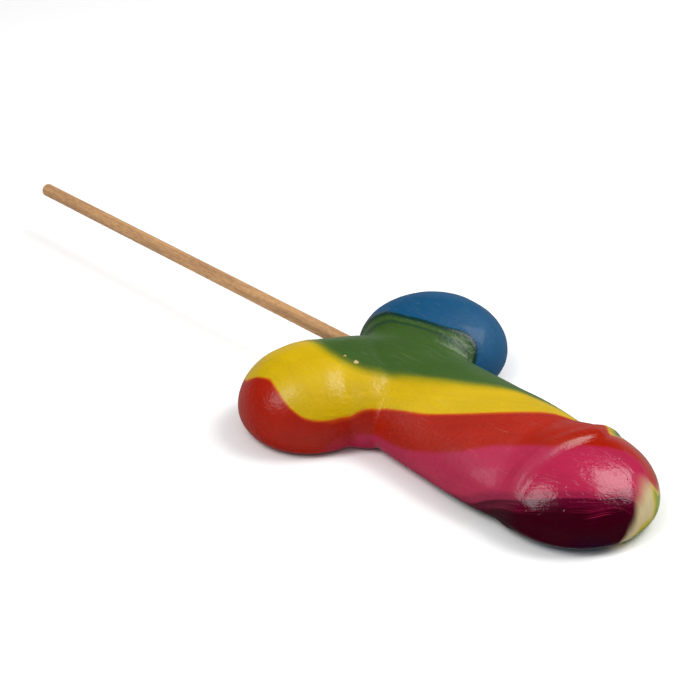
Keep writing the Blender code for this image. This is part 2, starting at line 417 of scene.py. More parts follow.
@dataclass
class CandyForm:
    """The candy's shape: domes over ellipses, joined smoothly over one flat underside."""

    widest_at_lobes: float = 6.4
    widest_at_tip: float = 4.2
    widest_tip_x: float = 80.0
    shaft_rear_x: float = -18.0
    shaft_front_x: float = 70.0
    shaft_half_widths: Triple = (18.5, 20.4, 21.6)
    shaft_heights: Triple = (12.3, 11.7, 11.5)
    shaft_lean: float = -0.030
    shaft_side_power: float = 2.36
    shaft_end_power: float = 4.6
    shaft_shares: Pair = (-0.3, 1.2)
    head_x: float = 62.0
    head_side_shift: float = 1.2
    head_height: float = 13.1
    head_half_width: float = 21.2
    head_front_length: float = 22.9
    head_rear_length: float = 16.5
    head_power: float = 2.2
    head_blend: float = 5.2
    tip: Dome = Dome(77.4, -0.5, 7.4, 7.1, 6.6, 0.0, 2.8)
    rib_x: float = 60.5
    rib_height: float = 0.75
    rib_reach: float = 2.3
    rib_power: float = 3.0
    rib_bulge: float = 2.2
    rib_bulge_side: float = 7.0
    rib_bulge_reach: float = 9.0
    rib_near_end: float = -17.0
    rib_near_fade: float = 1.3
    groove_ahead: float = 2.6
    groove_depth: float = 0.12
    groove_reach: float = 1.0
    root: Dome = Dome(-7.0, -7.0, 12.0, 18.0, 12.2, 0.0, 7.0)
    near_web: Dome = Dome(-1.0, -10.2, 18.4, 9.8, 12.6, -0.33, 7.0, 3.0)
    near_lobe: Dome = Dome(-7.4, -19.4, 18.3, 20.0, 14.4, -0.18, 8.5, 2.12)
    near_crease_blend: float = 2.2
    far_lobe: Dome = Dome(-6.4, 23.6, 20.2, 19.8, 13.3, -0.11, 6.0, 2.12)
    crown_z: float = 17.0
    crown_half_width: float = 8.0
    rounded_edge: float = 9.0
    rings: int = 340
    segments: int = 270
    top_segments: int = 190
    fan_rear_x: float = -6.0
    fan_front_x: float = 66.0
    key_rings: tuple[float, ...] = (0.0, 17.0, 26.0, 40.0, 60.0, 72.0)
    key_centres: tuple[float, ...] = (-6.0, -6.0, -6.0, 40.0, 66.0, 66.0)
    key_angles: tuple[float, ...] = (-90.0, 0.0, 48.0, 0.0, 0.0, 90.0)
    key_spine: tuple[float, ...] = (-6.0, -6.0, 4.0, 40.0, 66.0, 66.0)
    longest_reach: float = 60.0
    halvings: int = 40

    def rib_line(self, side: np.ndarray) -> np.ndarray:
        """Where the middle of the rib lies along the candy, bulged forward beyond the crown."""
        aside = (side - self.rib_bulge_side) / self.rib_bulge_reach
        return self.rib_x + self.rib_bulge * np.exp(-(aside**2))

    def rib_shown(self, side: np.ndarray) -> np.ndarray:
        """How much of the rib is left, fading out down the near side."""
        return 1.0 / (1.0 + np.exp((self.rib_near_end - side) / self.rib_near_fade))

    def rib_swelling(self, x: np.ndarray, side: np.ndarray) -> np.ndarray:
        """How far the rib stands out: a rounded ridge with a groove ahead of it, bowed forward.

        Args:
            x: Places along the candy.
            side: Places across it, measured from the shaft's own line.

        Returns:
            Heights above the shaft and head.
        """
        along = x - self.rib_line(side)
        ridge = self.rib_height * np.exp(-(np.abs(along / self.rib_reach) ** self.rib_power))
        groove = self.groove_depth * np.exp(-(((along - self.groove_ahead) / self.groove_reach) ** 2))
        return (ridge - groove) * self.rib_shown(side)

    def shaft_squared(self, x: np.ndarray, side: np.ndarray, swelling: np.ndarray) -> np.ndarray:
        """Squared height of the shaft, widest at the neck and rounded at both ends.

        Args:
            x: Places along the candy.
            side: Places across it, measured from the shaft's own line.
            swelling: How far the rib stands out there.

        Returns:
            Squared heights, below 0 outside the shaft.
        """
        share = np.clip(x / self.head_x, *self.shaft_shares)
        half_width = through_three(self.shaft_half_widths, share) + swelling
        height = through_three(self.shaft_heights, share) + swelling
        middle = 0.5 * (self.shaft_rear_x + self.shaft_front_x)
        half_length = 0.5 * (self.shaft_front_x - self.shaft_rear_x)
        across = np.abs(side / half_width) ** self.shaft_side_power
        along = np.abs((x - middle) / half_length) ** self.shaft_end_power
        return height**2 * (1.0 - across - along)

    def head_squared(self, x: np.ndarray, side: np.ndarray, swelling: np.ndarray) -> np.ndarray:
        """Squared height of the head, longer in front of its widest place than behind it.

        Args:
            x: Places along the candy.
            side: Places across it, measured from the shaft's own line.
            swelling: How far the rib stands out there.

        Returns:
            Squared heights, below 0 outside the head.
        """
        length = np.where(x > self.head_x, self.head_front_length, self.head_rear_length)
        along = np.abs((x - self.head_x) / length) ** self.head_power
        across = ((side - self.head_side_shift) / (self.head_half_width + swelling)) ** 2
        return (self.head_height + swelling) ** 2 * (1.0 - along - across)

    def squared_height(self, x: np.ndarray, y: np.ndarray) -> np.ndarray:
        """Squared height of the whole candy above its widest level: the smooth maximum of its forms.

        Args:
            x: Places along the candy.
            y: Places across it.

        Returns:
            Squared heights, below 0 outside the outline.
        """
        side = y - self.shaft_lean * x
        swelling = self.rib_swelling(x, side)
        forms = self.shaft_squared(x, side, swelling)
        forms = smooth_max(forms, self.head_squared(x, side, swelling), self.head_blend)
        forms = smooth_max(forms, self.tip.squared_height(x, side), self.tip.blend)
        near_side = self.root.squared_height(x, y)
        for dome in (self.near_web, self.near_lobe):
            near_side = smooth_max(near_side, dome.squared_height(x, y), dome.blend)
        forms = smooth_max(forms, near_side, self.near_crease_blend)
        return smooth_max(forms, self.far_lobe.squared_height(x, y), self.far_lobe.blend)

    def outline_reach(self, centre_x: np.ndarray, toward_x: np.ndarray, toward_y: np.ndarray) -> np.ndarray:
        """How far the outline lies from a point of the spine in a direction, found by halving.

        Args:
            centre_x: Where on the spine the measure starts.
            toward_x: The direction's part along the candy.
            toward_y: The direction's part across it.

        Returns:
            Distances to the outline.
        """
        centre_y = self.shaft_lean * centre_x
        inside = np.zeros_like(centre_x)
        outside = np.full_like(centre_x, self.longest_reach)
        for _ in range(self.halvings):
            middle = 0.5 * (inside + outside)
            height = self.squared_height(centre_x + middle * toward_x, centre_y + middle * toward_y)
            inside = np.where(height > 0.0, middle, inside)
            outside = np.where(height > 0.0, outside, middle)
        return inside

    def spine_crossing(self, ring: np.ndarray) -> np.ndarray:
        """Where each ring crosses the spine, with the rings closest together at both ends.

        Args:
            ring: Ring numbers on the scale of the key rings.

        Returns:
            Places along the candy.
        """
        last = self.key_rings[-1]
        rear_fan = self.key_rings[1]
        front_fan = self.key_rings[-2]
        rear_reach = self.outline_reach(np.array([self.fan_rear_x]), -1.0, 0.0)
        front_reach = self.outline_reach(np.array([self.fan_front_x]), 1.0, 0.0)
        rear_share = np.clip(1.0 - np.sqrt(ring / rear_fan), 0.0, 1.0)
        front_turn = np.clip((ring - front_fan) / (last - front_fan), 0.0, 1.0)
        front_share = np.sin(0.5 * np.pi * front_turn)
        keyed = np.interp(ring, self.key_rings, self.key_spine)
        return keyed - rear_reach * rear_share + front_reach * front_share

    def surface(self) -> tuple[np.ndarray, np.ndarray]:
        """The surface as rings across the candy from rear to tip.

        A ring joins a point of the spine to a point of the outline on each side. Its top follows
        the domes, and its underside is flat with a quarter round up to the outline.

        Returns:
            Points as rings by segments by 3, and each point's distance round the body from the
            crown, below 0 on the near side.
        """
        ring = np.linspace(0.0, self.key_rings[-1], self.rings + 1)[:, None]
        step = np.arange(self.segments)[None, :]
        under_segments = self.segments - self.top_segments
        on_top = step <= self.top_segments
        top_angle = np.pi * step / self.top_segments
        under_angle = np.pi * (1.0 + (step - self.top_segments) / under_segments)
        angle = np.where(on_top, top_angle, under_angle)
        outward = np.abs(np.cos(angle))
        hand = np.sign(np.cos(angle)) + 0.0 * ring

        centre_x = np.interp(ring, self.key_rings, self.key_centres) + 0.0 * angle
        fan = np.radians(np.interp(ring, self.key_rings, self.key_angles)) + 0.0 * angle
        toward_x = np.sin(fan)
        toward_y = np.cos(fan) * hand
        reach = self.outline_reach(centre_x, toward_x, toward_y)
        edge_x = centre_x + reach * toward_x
        edge_y = self.shaft_lean * centre_x + reach * toward_y
        spine_x = self.spine_crossing(ring) + 0.0 * angle
        spine_y = self.shaft_lean * np.clip(spine_x, self.fan_rear_x, self.fan_front_x)
        x = spine_x + outward * (edge_x - spine_x)
        y = spine_y + outward * (edge_y - spine_y)

        squared = np.clip(self.squared_height(x, y), 0.0, None)
        widest = np.interp(x, (0.0, self.widest_tip_x), (self.widest_at_lobes, self.widest_at_tip))
        top = widest + np.sqrt(squared)
        rounding = np.clip(1.0 - squared / self.rounded_edge**2, 0.0, 1.0)
        underside = widest * (1.0 - np.sqrt(1.0 - rounding**2))
        z = np.where(on_top, top, underside)
        fold_back = np.where(on_top, 0.0, 2.0 * np.abs(edge_y - y))
        round_body = self.round_body(y, z) + hand * fold_back
        return np.stack([x, y, z], axis=-1), round_body

    def round_body(self, y: np.ndarray, z: np.ndarray) -> np.ndarray:
        """Distance round the body on its top: across it, and down where it drops below the crown.

        Args:
            y: Places across the candy.
            z: Heights.

        Returns:
            Distances from the crown's line, below 0 on the near side.
        """
        return y + np.tanh(y / self.crown_half_width) * np.clip(self.crown_z - z, 0.0, None)


@dataclass
class Candy:
    """The candy itself, with its stripes and the small relief of a thing pressed by hand.

    Attributes:
        form: Its shape.
        crease_depth: Depth of the crease between the shaft and the near web.
        crease_width: How far the crease reaches, as a difference of squared heights.
        crease_from: Where the crease starts along the candy, and how softly.
        groove_from: Where the fold along the blue starts, and how softly.
        groove_to: Where it ends, and how softly.
        blue_grooves: Grooves by the blue's line: distance past it, depth and reach.
        rib_lines: Fine grooves along the rib: distance past its middle, depth and reach.
        waves: Uneven heights: seed, wavelength and height.
        foot: Heights between which the relief fades in above the underside.
        band_width: What one band counts for in the flow of the sugar.
        crumbs: Crumbs stuck on the candy: place along, place across and size.
        turn_back: Places along the candy, and how far round the body the blue comes back there.
        turn_back_sides: How far round the near and the far side it comes back at the full share.
    """

    form: CandyForm = field(default_factory=CandyForm)
    crease_depth: float = 0.15
    crease_width: float = 8.0
    crease_from: Pair = (9.0, 1.0)
    groove_from: Pair = (-24.0, 1.5)
    groove_to: Pair = (12.0, 1.0)
    blue_grooves: tuple[Triple, ...] = ((0.0, 0.36, 0.75), (2.1, 0.05, 0.6))
    rib_lines: tuple[Triple, ...] = ((-2.6, 0.12, 0.4), (-1.1, 0.05, 0.3), (2.7, 0.06, 0.4))
    waves: tuple[tuple[int, float, float], ...] = ((4, 19.0, 0.10), (9, 6.0, 0.03))
    foot: Pair = (1.0, 3.0)
    band_width: float = 10.0
    crumbs: tuple[Triple, ...] = ((-1.7, -13.9, 0.5), (1.8, -13.4, 0.8))
    turn_back: tuple[Triple, Triple] = ((-6.0, 20.0, 84.0), (1.0, 0.78, 0.40))
    turn_back_sides: Pair = (-80.0, 62.0)

    def normals(self, points: np.ndarray) -> np.ndarray:
        """Outward directions of a grid of rings, from the differences between its neighbours.

        Args:
            points: Points as rings by segments by 3.

        Returns:
            Unit vectors of the same form.
        """
        along = np.gradient(points, axis=0)
        around = np.roll(points, -1, axis=1) - np.roll(points, 1, axis=1)
        square = np.cross(along, around)
        length = np.linalg.norm(square, axis=-1, keepdims=True)
        facing = square / np.clip(length, 1e-9, None)
        facing[0] = (-1.0, 0.0, 0.0)
        facing[-1] = (1.0, 0.0, 0.0)
        return facing

    def relief(self, points: np.ndarray, stripes: dict[str, np.ndarray]) -> np.ndarray:
        """Small heights on the surface: creases beside the lobes, the fold along the blue, waves.

        Args:
            points: Points as rings by segments by 3.
            stripes: Distances past each stripe's line.

        Returns:
            Heights along the surface's outward direction.
        """
        x, y, z = np.moveaxis(points, -1, 0)
        side = y - self.form.shaft_lean * x
        swelling = self.form.rib_swelling(x, side)
        shaft = self.form.shaft_squared(x, side, swelling)
        apart = (self.form.near_web.squared_height(x, y) - shaft) / self.crease_width
        height = -self.crease_depth * self.past(x, *self.crease_from) * np.exp(-(apart**2))
        folded = self.past(x, *self.groove_from) * (1.0 - self.past(x, *self.groove_to))
        height -= folded * self.grooves(stripes["past_blue"], self.blue_grooves)
        rib = x - self.form.rib_line(side)
        height -= self.form.rib_shown(side) * self.grooves(rib, self.rib_lines)
        for seed, length, rise in self.waves:
            height += rise * gentle_waves(points, seed, length)
        return height * np.interp(z, self.foot, (0.0, 1.0))

    def past(self, x: np.ndarray, place: float, soft: float) -> np.ndarray:
        """A soft step from 0 to 1 where x passes a place."""
        return 1.0 / (1.0 + np.exp((place - x) / soft))

    def grooves(self, away: np.ndarray, lines: tuple[Triple, ...]) -> np.ndarray:
        """The depth of rounded grooves along a line: the sum of one bell curve for each.

        Args:
            away: Signed distances from the line.
            lines: Each groove's distance from the line, depth and reach.

        Returns:
            Depths.
        """
        return sum(depth * np.exp(-(((away - place) / reach) ** 2)) for place, depth, reach in lines)

    def build(self, shift: Vector) -> bpy.types.Object:
        """Makes the candy's mesh and stores the stripes on it.

        Args:
            shift: Where the candy's own origin lies in the frame, in metres.

        Returns:
            The candy.
        """
        points, round_body = self.form.surface()
        stripes = {}
        for edge in STRIPES:
            stripes[edge.name] = edge.distance(points[..., 0], round_body)
        raised = points + self.normals(points) * self.relief(points, stripes)[..., None]
        raised[..., 2] = np.clip(raised[..., 2], 0.0, None)
        raised[0] = raised[0].mean(axis=0)
        raised[-1] = raised[-1].mean(axis=0)

        placed = unfold(raised) * MM + np.array(shift)
        faces = grid_faces(self.form.rings - 1, self.form.segments)
        candy = new_piece("striped_candy", placed, faces)
        for name, values in stripes.items():
            add_attribute(candy, name, unfold(values))
        x, y, z = np.moveaxis(points, -1, 0)
        near_edge, far_edge = np.multiply.outer(self.turn_back_sides, np.interp(x, *self.turn_back))
        round_again = np.maximum(near_edge - round_body, round_body - far_edge)
        add_attribute(candy, "round_again", unfold(round_again))
        cream = np.minimum(flowing_curve(y, CREAM_TOP) - z, x - CREAM_REAR_X)
        straw = np.maximum(y - flowing_curve(z, STRAW_SIDE), flowing_curve(y, STRAW_TOP) - z)
        add_attribute(candy, "past_tip", unfold(cream))
        add_attribute(candy, "past_cream", unfold(np.minimum(straw, cream)))
        crumb = np.zeros_like(x)
        for middle_x, middle_y, size in self.crumbs:
            crumb += np.exp(-((x - middle_x) ** 2 + (y - middle_y) ** 2) / size**2)
        add_attribute(candy, "crumb", unfold(crumb * (z > self.form.widest_at_lobes)))
        flow = np.stack([x, self.band_number(x, round_body) * self.band_width, z], axis=-1)
        add_attribute(candy, "flow", unfold(flow))
        return candy

    def band_number(self, x: np.ndarray, round_body: np.ndarray) -> np.ndarray:
        """Counts the bands from the far side: a whole number on each line, even in between.

        Args:
            x: Places along the candy.
            round_body: Their distances round the body.

        Returns:
            Band numbers, whose level lines run along the stripes.
        """
        lines = [flowing_curve(x, edge.knots) for edge in STRIPES]
        number = np.clip(lines[0] - round_body, None, 0.0) / self.band_width
        for far_line, near_line in zip(lines, lines[1:]):
            number += np.clip((far_line - round_body) / np.clip(far_line - near_line, 0.5, None), 0.0, 1.0)
        return number + np.clip(lines[-1] - round_body, 0.0, None) / self.band_width


class NodeBench:
    """The node tree of a material or of the world, with short ways to add its nodes."""

    def __init__(self, owner: bpy.types.ID, shader: str = "Principled BSDF") -> None:
        """Opens the tree at its shader."""
        owner.use_nodes = True
        self.owner = owner
        self.tree = owner.node_tree
        self.shader = self.tree.nodes[shader]

    def put(self, socket: bpy.types.NodeSocket, value: object) -> None:
        """Links an output to a socket, or sets a number or colour on it."""
        if isinstance(value, bpy.types.NodeSocket):
            self.tree.links.new(value, socket)
        elif value is not None:
            socket.default_value = value

    def fill(self, node: bpy.types.Node, inputs: Inputs) -> None:
        """Puts values or outputs on a node's inputs, by their names or numbers."""
        for key, value in inputs.items():
            self.put(node.inputs[key], value)

    def add(self, kind: str, inputs: Inputs | None = None, **settings: object) -> bpy.types.Node:
        """Adds a node.

        Args:
            kind: Its type.
            inputs: Values or outputs for its inputs.
            settings: Its properties.

        Returns:
            The node.
        """
        node = self.tree.nodes.new(kind)
        for key, value in settings.items():
            setattr(node, key, value)
        self.fill(node, inputs or {})
        return node

    def attribute(self, name: str, output: str = "Fac") -> object:
        """Reads a number or a vector that is stored on the mesh."""
        return self.add("ShaderNodeAttribute", attribute_name=name).outputs[output]

    def place(self) -> object:
        """Reads the place on the piece in metres."""
        return self.add("ShaderNodeTexCoord").outputs["Object"]

    def noise(self, vector: object, scale: float, detail: float = 3.0, rough: float = 0.5) -> object:
        """Cloudy noise from 0 to 1.

        Args:
            vector: The place.
            scale: How many clouds to a unit.
            detail: How many finer layers it has.
            rough: How strong the finer layers are.

        Returns:
            The noise.
        """
        inputs = {"Vector": vector, "Scale": scale, "Detail": detail, "Roughness": rough}
        return self.add("ShaderNodeTexNoise", inputs, noise_dimensions="3D").outputs["Fac"]

    def drawn(
        self, vector: object, scale: Triple, detail: float, rough: float, turn: Triple = (0.0, 0.0, 0.0)
    ) -> object:
        """Noise that is stretched into lines or patches.

        Args:
            vector: The place.
            scale: How many clouds to a unit along each axis.
            detail: How many finer layers it has.
            rough: How strong the finer layers are.
            turn: Angles about the three axes in radians.

        Returns:
            The noise.
        """
        inputs = {"Vector": vector, "Scale": scale, "Rotation": turn}
        stretched = self.add("ShaderNodeMapping", inputs, vector_type="POINT")
        return self.noise(stretched.outputs["Vector"], 1.0, detail, rough)

    def sum(self, operation: str, first: object, second: object = None, third: object = None) -> object:
        """Works out a sum of up to three numbers."""
        inputs = {0: first, 1: second, 2: third}
        return self.add("ShaderNodeMath", inputs, operation=operation).outputs["Value"]

    def times(self, product: object, *others: object) -> object:
        """Multiplies a number by others."""
        for other in others:
            product = self.sum("MULTIPLY", product, other)
        return product

    def ramp(
        self, value: object, low: float, high: float, start: object = 0.0, end: object = 1.0
    ) -> object:
        """A smooth step from start to end while a number goes from low to high.

        Args:
            value: The number.
            low: Where the step starts.
            high: Where it ends.
            start: The result below low.
            end: The result above high.

        Returns:
            The step.
        """
        inputs = {"Value": value, "From Min": low, "From Max": high, "To Min": start, "To Max": end}
        return self.add("ShaderNodeMapRange", inputs, interpolation_type="SMOOTHSTEP").outputs["Result"]

    def mix(self, share: object, first: object, second: object) -> object:
        """Mixes two colours.

        Args:
            share: How much of the second shows.
            first: A colour or an output.
            second: A colour or an output.

        Returns:
            The mixed colour.
        """
        inputs = {0: share}
        for socket, colour in ((6, first), (7, second)):
            inputs[socket] = (*colour, 1.0) if isinstance(colour, tuple) else colour
        return self.add("ShaderNodeMix", inputs, data_type="RGBA").outputs[2]

    def split(self, vector: object, axis: int) -> object:
        """Takes one number out of a vector or a colour."""
        return self.add("ShaderNodeSeparateXYZ", {"Vector": vector}).outputs[axis]

    def tint(self, colour: object, light: object) -> object:
        """Makes a colour lighter or darker by a factor."""
        inputs = {0: colour, "Scale": light}
        return self.add("ShaderNodeVectorMath", inputs, operation="SCALE").outputs["Vector"]

    def bump(self, height: object, depth: float, normal: object = None) -> object:
        """Tilts the shading by a height pattern.

        Args:
            height: Heights from 0 to 1.
            depth: What a height of 1 measures, in metres.
            normal: The bump below this one.

        Returns:
            The tilted direction.
        """
        inputs = {"Height": height, "Distance": depth, "Strength": 1.0, "Normal": normal}
        return self.add("ShaderNodeBump", inputs).outputs["Normal"]


@dataclass(frozen=True)
class SugarFinish:
    """Glossy boiled sugar in bands, with streaks along them, hair scratches painted pale as painted glints,
    and small pits.
    """

    roughness: float = 0.28
    shaft_roughness: float = 0.46
    head_roughness: float = 0.11
    blue_dulling: float = 0.22
    roughness_range: float = 0.14
    coat: float = 0.10
    coat_roughness: float = 0.10
    refraction: float = 1.50
    specular: float = 0.29
    shaft_x: Pair = (16.0, 30.0)
    head_x: Pair = (60.0, 65.0)
    smooth_x: Pair = (52.0, 62.0)
    smooth_share: float = 0.45
    streak_scale: Triple = (0.045, 0.55, 0.05)
    hair_scale: Triple = (0.09, 1.9, 0.2)
    thread_scale: Triple = (0.07, 6.5, 0.1)
    thread_peaks: Pair = (0.60, 0.68)
    thread_share: float = 0.75
    ragged_scale: float = 420.0
    ragged_share: float = 0.14
    swirl_scale: float = 75.0
    swirl_light: Pair = (0.93, 1.05)
    streak_light: Pair = (0.96, 1.03)
    crumb_colour: Triple = (0.55, 0.42, 0.18)
    crumb_scale: float = 1500.0
    crumb_raggedness: float = 1.1
    crumb_edge: Pair = (0.90, 1.20)
    # Pale colour painted on the scratches as painted glints.
    scratch_glint_colour: Triple = (0.9, 0.86, 0.8)
    scratch_scale: Triple = (75.0, 1700.0, 1300.0)
    scratch_peaks: Pair = (0.66, 0.74)
    scratch_turns: Triple = (0.5, 1.5, 2.5)
    scratch_glint_pallor: float = 0.032
    patch_scale: Triple = (90.0, 90.0, 90.0)
    patch_tilt: float = 0.5
    patch_edge: Pair = (0.45, 0.62)
    upward_edge: Pair = (0.60, 0.85)
    bend_scale: float = 45.0
    bend: float = 0.006
    pit_scale: float = 420.0
    pit_edge: Pair = (0.05, 0.22)
    pit_choice: Pair = (0.80, 0.82)
    cloud_scale: float = 130.0
    dimple_scale: float = 1100.0
    blue_edge: Pair = (-1.5, 0.0)
    cloud_depth: float = 0.00020
    hair_depth: float = 0.00006
    dimple_depth: float = 0.00016
    scratch_depth: float = 0.00003
    pit_depth: float = 0.00010

    def scratches(self, bench: NodeBench, place: object, turn: float) -> object:
        """Hair scratches: the peaks of far stretched noise, left only where slow noise is high and the face
        looks upwards.

        Args:
            bench: The material that is being made.
            place: The place on the candy.
            turn: The angle of the lines in the plan, in radians.

        Returns:
            1 on a scratch and 0 off it.
        """
        lines = bench.drawn(self.bent(bench, place), self.scratch_scale, 1.0, 0.4, (0.0, 0.0, turn))
        patches = bench.drawn(place, self.patch_scale, 2.0, 0.5, (turn, self.patch_tilt, 0.0))
        upward = bench.split(bench.add("ShaderNodeNewGeometry").outputs["Normal"], 2)
        return bench.times(
            bench.ramp(lines, *self.scratch_peaks),
            bench.ramp(patches, *self.patch_edge),
            bench.ramp(upward, *self.upward_edge),
        )

    def bent(self, bench: NodeBench, place: object) -> object:
        """Moves a place about by slow noise, so that straight patterns come out a little curved."""
        inputs = {"Vector": place, "Scale": self.bend_scale}
        cloud = bench.add("ShaderNodeTexNoise", inputs, noise_dimensions="3D").outputs["Color"]
        inputs = {0: cloud, 1: (self.bend, self.bend, self.bend), 2: place}
        return bench.add("ShaderNodeVectorMath", inputs, operation="MULTIPLY_ADD").outputs["Vector"]

    def pits(self, bench: NodeBench, place: object) -> object:
        """Small pits: the hollow round some of many scattered points.

        Args:
            bench: The material that is being made.
            place: The place on the candy.

        Returns:
            Heights from 0 in a pit to 1 off it.
        """
        inputs = {"Vector": place, "Scale": self.pit_scale}
        points = bench.add("ShaderNodeTexVoronoi", inputs, feature="F1")
        hollow = bench.ramp(points.outputs["Distance"], *self.pit_edge, 1.0, 0.0)
        chosen = bench.ramp(bench.split(points.outputs["Color"], 0), *self.pit_choice)
        return bench.sum("SUBTRACT", 1.0, bench.times(hollow, chosen))

    def bands(self, bench: NodeBench, wander: object) -> object:
        """Lays the bands of sugar one over another by the distances stored on the candy.

        Args:
            bench: The material that is being made.
            wander: Noise that moves the lines about.

        Returns:
            The colour.
        """
        colour: object = Sugar.BLUE.linear
        for edge in STRIPES:
            past = bench.attribute(edge.name)
            for sugar, start, soft, stray in edge.layers:
                moved = bench.sum("MULTIPLY_ADD", wander, 2.0 * stray, past)
                low = start + stray - soft
                share = bench.ramp(moved, low, low + 2.0 * soft)
                colour = bench.mix(share, colour, sugar.linear)
        again = bench.attribute("round_again")
        tip = bench.sum("MULTIPLY_ADD", wander, 0.8, bench.attribute("past_tip"))
        straw = bench.sum("MULTIPLY_ADD", wander, 0.5, bench.attribute("past_cream"))
        ends = (
            (again, -2.0, 2.0, Sugar.BLUE),
            (tip, -1.6, 2.8, Sugar.CREAM),
            (straw, -0.3, 0.9, Sugar.STRAW),
            (straw, 0.9, 2.0, Sugar.LIME),
        )
        for past, low, high, sugar in ends:
            colour = bench.mix(bench.ramp(past, low, high), colour, sugar.linear)
        return colour

    def make(self) -> bpy.types.Material:
        """Makes the material.

        Returns:
            The material.
        """
        bench = NodeBench(bpy.data.materials.new("boiled_sugar"))
        place = bench.place()
        flow = bench.attribute("flow", "Vector")
        streaks = bench.drawn(flow, self.streak_scale, 4.0, 0.6)
        hairs = bench.drawn(flow, self.hair_scale, 3.0, 0.6)
        ragged = bench.noise(place, self.ragged_scale, 3.0, 0.6)
        smooth = bench.times(streaks, 1.0 - self.ragged_share)
        wander = bench.sum("MULTIPLY_ADD", ragged, self.ragged_share, smooth)

        colour = self.bands(bench, wander)
        past_pink = bench.attribute("past_pink")
        threads = bench.times(
            bench.ramp(bench.drawn(flow, self.thread_scale, 2.0, 0.5), *self.thread_peaks),
            bench.ramp(past_pink, 0.2, 0.9),
            bench.ramp(past_pink, 2.6, 5.0, 1.0, 0.0),
            self.thread_share,
        )
        colour = bench.mix(threads, colour, Sugar.PINK.linear)
        swirls = bench.noise(place, self.swirl_scale, 3.0, 0.55)
        light = bench.ramp(swirls, 0.3, 0.7, *self.swirl_light)
        light = bench.times(light, bench.ramp(streaks, 0.3, 0.7, *self.streak_light))
        colour = bench.tint(colour, light)
        ragged_edge = bench.noise(place, self.crumb_scale, 2.0, 0.6)
        torn = bench.sum("MULTIPLY_ADD", ragged_edge, self.crumb_raggedness, bench.attribute("crumb"))
        colour = bench.mix(bench.ramp(torn, *self.crumb_edge), colour, self.crumb_colour)
        marks = self.scratches(bench, place, self.scratch_turns[0])
        for turn in self.scratch_turns[1:]:
            marks = bench.sum("MAXIMUM", marks, self.scratches(bench, place, turn))
        # Painted glints: the scratches are painted paler than the sugar, only on faces that look upwards.
        colour = bench.mix(bench.times(marks, self.scratch_glint_pallor), colour, self.scratch_glint_colour)

        cloudy = bench.noise(place, self.cloud_scale, 4.0, 0.6)
        along = bench.split(flow, 0)
        dulled = bench.ramp(along, *self.shaft_x, self.roughness, self.shaft_roughness)
        polish = bench.ramp(along, *self.head_x, dulled, self.head_roughness)
        matt_blue = bench.ramp(bench.attribute("past_blue"), *self.blue_edge, self.blue_dulling, 0.0)
        polish = bench.sum("ADD", polish, matt_blue)
        smooth_head = bench.ramp(along, *self.smooth_x, 1.0, self.smooth_share)
        dimples = bench.times(bench.noise(place, self.dimple_scale, 2.0, 0.5), smooth_head)
        bumps = (
            (cloudy, self.cloud_depth),
            (hairs, self.hair_depth),
            (dimples, self.dimple_depth),
            (marks, -self.scratch_depth),
            (self.pits(bench, place), self.pit_depth),
        )
        normal = None
        for height, depth in bumps:
            normal = bench.bump(height, depth, normal)
        bench.fill(bench.shader, {
            "Base Color": colour,
            "Roughness": bench.sum("MULTIPLY_ADD", cloudy, self.roughness_range, polish),
            "IOR": self.refraction,
            "Specular IOR Level": self.specular,
            "Coat Weight": self.coat,
            "Coat Roughness": self.coat_roughness,
            "Normal": normal,
        })
        return bench.owner


@dataclass
class Stick:
    """The round wooden stick, with softened ends."""

    radius: float = 2.0
    rear_x: float = -156.5
    length: float = 170.0
    centre_z: float = 12.8
    end_rounding: float = 0.6
    rings: int = 420
    segments: int = 72

    def build(self, shift: Vector) -> bpy.types.Object:
        """Makes the stick as a round profile carried along its line.

        Args:
            shift: Where the candy's own origin lies in the frame, in metres.

        Returns:
            The stick.
        """
        cap = np.linspace(0.0, 0.5 * np.pi, 7)[:-1]
        cap_along = self.end_rounding * (1.0 - np.cos(cap))
        cap_radius = self.radius - self.end_rounding * (1.0 - np.sin(cap))
        face = np.linspace(0.0, self.radius - self.end_rounding, 10)[:-1]
        body = np.linspace(self.end_rounding, self.length - self.end_rounding, self.rings)
        front = (self.length - cap_along)[::-1]
        along = np.concatenate([0.0 * face, cap_along, body, front, 0.0 * face + self.length])
        radius = np.concatenate([face, cap_radius, 0.0 * body + self.radius, cap_radius[::-1], face[::-1]])

        angle = np.arange(self.segments) * 2.0 * np.pi / self.segments
        x = self.rear_x + along[:, None] + 0.0 * angle
        y = radius[:, None] * np.cos(angle)
        z = self.centre_z + radius[:, None] * np.sin(angle)
        placed = unfold(np.stack([x, y, z], axis=-1)) * MM + np.array(shift)
        return new_piece("wooden_stick", placed, grid_faces(len(along) - 2, self.segments))


@dataclass(frozen=True)
class WoodFinish:
    """Pale beech, with fine grain along the stick and short dark flecks."""

    pale: Triple = (0.57, 0.31, 0.13)
    dark: Triple = (0.38, 0.20, 0.09)
    grey: Triple = (0.24, 0.14, 0.08)
    bright: Triple = (0.66, 0.42, 0.22)
    roughness: float = 0.55
    grain_scale: Triple = (30.0, 900.0, 900.0)
    fleck_scale: Triple = (500.0, 2600.0, 2600.0)
    grain_depth: float = 0.00012

    def make(self) -> bpy.types.Material:
        """Makes the material.

        Returns:
            The material.
        """
        bench = NodeBench(bpy.data.materials.new("pale_beech"))
        place = bench.place()
        grain = bench.drawn(place, self.grain_scale, 4.0, 0.6)
        fleck = bench.drawn(place, self.fleck_scale, 3.0, 0.6)
        colour = bench.mix(bench.ramp(grain, 0.35, 0.7), self.pale, self.dark)
        colour = bench.mix(bench.ramp(fleck, 0.50, 0.68, 0.0, 0.6), colour, self.grey)
        colour = bench.mix(bench.ramp(fleck, 0.34, 0.46, 0.35, 0.0), colour, self.bright)
        normal = bench.bump(grain, self.grain_depth)
        bench.fill(bench.shader, {"Base Color": colour, "Roughness": self.roughness, "Normal": normal})
        return bench.owner


